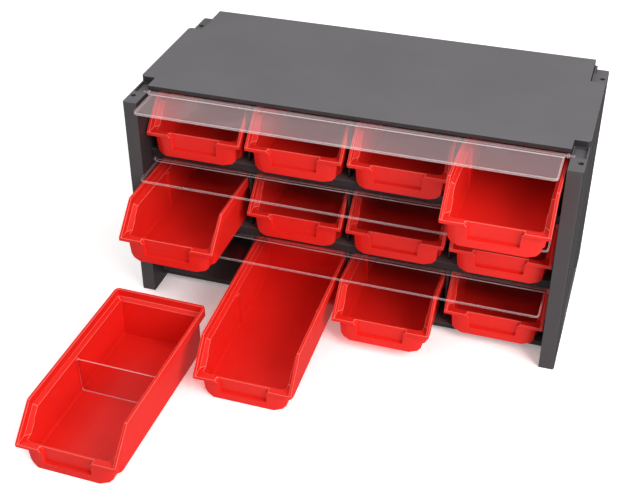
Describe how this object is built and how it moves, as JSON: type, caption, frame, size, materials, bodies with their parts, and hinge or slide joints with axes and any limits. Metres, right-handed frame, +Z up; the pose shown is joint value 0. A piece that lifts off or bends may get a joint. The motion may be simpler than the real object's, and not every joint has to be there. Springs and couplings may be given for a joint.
{
  "type": "parts bin cabinet",
  "caption": "Stackable plastic cabinet with rows of open-front parts bins on shelves, a clear hinged flap over each row, and a loose bin with a clear insert.",
  "frame": {"origin": "front lower corner of the left side panel, on the surface that the cabinet stands on", "axes": "+X across the front to the right, +Y from the front to the back, +Z up"},
  "size_m": [0.4999, 0.5578, 0.2625],
  "materials": {
    "cabinet_plastic": "satin moulded plastic, dark grey",
    "top_plastic": "satin moulded plastic, mid grey, faintly scuffed",
    "inner_plastic": "satin moulded plastic, dark grey",
    "bin_plastic": "semi-gloss moulded plastic, red",
    "flap_clear": "clear moulded plastic",
    "insert_clear": "clear moulded plastic"
  },
  "bodies": {
    "cabinet": {"side_panel_left": "cabinet_plastic", "side_panel_right": "cabinet_plastic", "top_panel": "top_plastic", "bottom_panel": "inner_plastic", "shelf_upper": "inner_plastic", "shelf_lower": "inner_plastic", "back_panel": "cabinet_plastic", "divider_r1_a": "inner_plastic", "divider_r1_b": "inner_plastic", "divider_r1_c": "inner_plastic", "divider_r2_a": "inner_plastic", "divider_r2_b": "inner_plastic", "divider_r2_c": "inner_plastic", "divider_r3_a": "inner_plastic", "divider_r3_b": "inner_plastic", "divider_r3_c": "inner_plastic"},
    "upper_flap": {"flap_upper": "flap_clear"},
    "middle_flap": {"flap_middle": "flap_clear"},
    "lower_flap": {"flap_lower": "flap_clear"},
    "tray_r1_c1": {"bin_r1_c1": "bin_plastic"},
    "tray_r1_c2": {"bin_r1_c2": "bin_plastic"},
    "tray_r1_c3": {"bin_r1_c3": "bin_plastic"},
    "tray_r1_c4": {"bin_r1_c4": "bin_plastic"},
    "tray_r2_c1": {"bin_r2_c1": "bin_plastic"},
    "tray_r2_c2": {"bin_r2_c2": "bin_plastic"},
    "tray_r2_c3": {"bin_r2_c3": "bin_plastic"},
    "tray_r2_c4": {"bin_r2_c4": "bin_plastic"},
    "tray_r3_c3": {"bin_r3_c3": "bin_plastic"},
    "tray_r3_c4": {"bin_r3_c4": "bin_plastic"},
    "tray_tipped": {"bin_r3_c2": "bin_plastic"},
    "tray_loose": {"bin_loose": "bin_plastic"},
    "loose_insert": {"bin_insert": "insert_clear"}
  },
  "joints": [
    {"name": "upper_flap_hinge", "type": "hinge", "parent": "cabinet", "child": "upper_flap", "pos_m": [0.24995, 0.0295, 0.2545], "axis": [1, 0, 0], "range_deg": [-60, 8]},
    {"name": "middle_flap_hinge", "type": "hinge", "parent": "cabinet", "child": "middle_flap", "pos_m": [0.24995, 0.0295, 0.1695], "axis": [1, 0, 0], "range_deg": [-14, 8]},
    {"name": "lower_flap_hinge", "type": "hinge", "parent": "cabinet", "child": "lower_flap", "pos_m": [0.24995, 0.0295, 0.0845], "axis": [1, 0, 0], "range_deg": [-14, 8]},
    {"name": "bin_r1_c1_slide", "type": "slide", "parent": "cabinet", "child": "tray_r1_c1", "axis": [0, -1, 0], "range_m": [0, 0.09]},
    {"name": "bin_r1_c2_slide", "type": "slide", "parent": "cabinet", "child": "tray_r1_c2", "axis": [0, -1, 0], "range_m": [0, 0.09]},
    {"name": "bin_r1_c3_slide", "type": "slide", "parent": "cabinet", "child": "tray_r1_c3", "axis": [0, -1, 0], "range_m": [0, 0.09]},
    {"name": "bin_r1_c4_slide", "type": "slide", "parent": "cabinet", "child": "tray_r1_c4", "axis": [0, -1, 0], "range_m": [-0.075, 0.015]},
    {"name": "bin_r2_c1_slide", "type": "slide", "parent": "cabinet", "child": "tray_r2_c1", "axis": [0, -1, 0], "range_m": [-0.09, 0]},
    {"name": "bin_r2_c2_slide", "type": "slide", "parent": "cabinet", "child": "tray_r2_c2", "axis": [0, -1, 0], "range_m": [0, 0.09]},
    {"name": "bin_r2_c3_slide", "type": "slide", "parent": "cabinet", "child": "tray_r2_c3", "axis": [0, -1, 0], "range_m": [0, 0.09]},
    {"name": "bin_r2_c4_slide", "type": "slide", "parent": "cabinet", "child": "tray_r2_c4", "axis": [0, -1, 0], "range_m": [0, 0.09]},
    {"name": "bin_r3_c3_slide", "type": "slide", "parent": "cabinet", "child": "tray_r3_c3", "axis": [0, -1, 0], "range_m": [-0.052, 0.038]},
    {"name": "bin_r3_c4_slide", "type": "slide", "parent": "cabinet", "child": "tray_r3_c4", "axis": [0, -1, 0], "range_m": [0, 0.09]},
    {"name": "bin_r3_c2_slide", "type": "slide", "parent": "cabinet", "child": "tray_tipped", "axis": [0, -0.9971, -0.0761], "range_m": [-0.15, 0]},
    {"name": "bin_loose_lift", "type": "slide", "parent": "cabinet", "child": "tray_loose", "axis": [0, 0, 1], "range_m": [0, 0.15]},
    {"name": "insert_lift", "type": "slide", "parent": "tray_loose", "child": "loose_insert", "axis": [0, 0, 1], "range_m": [0, 0.06]}
  ]
}
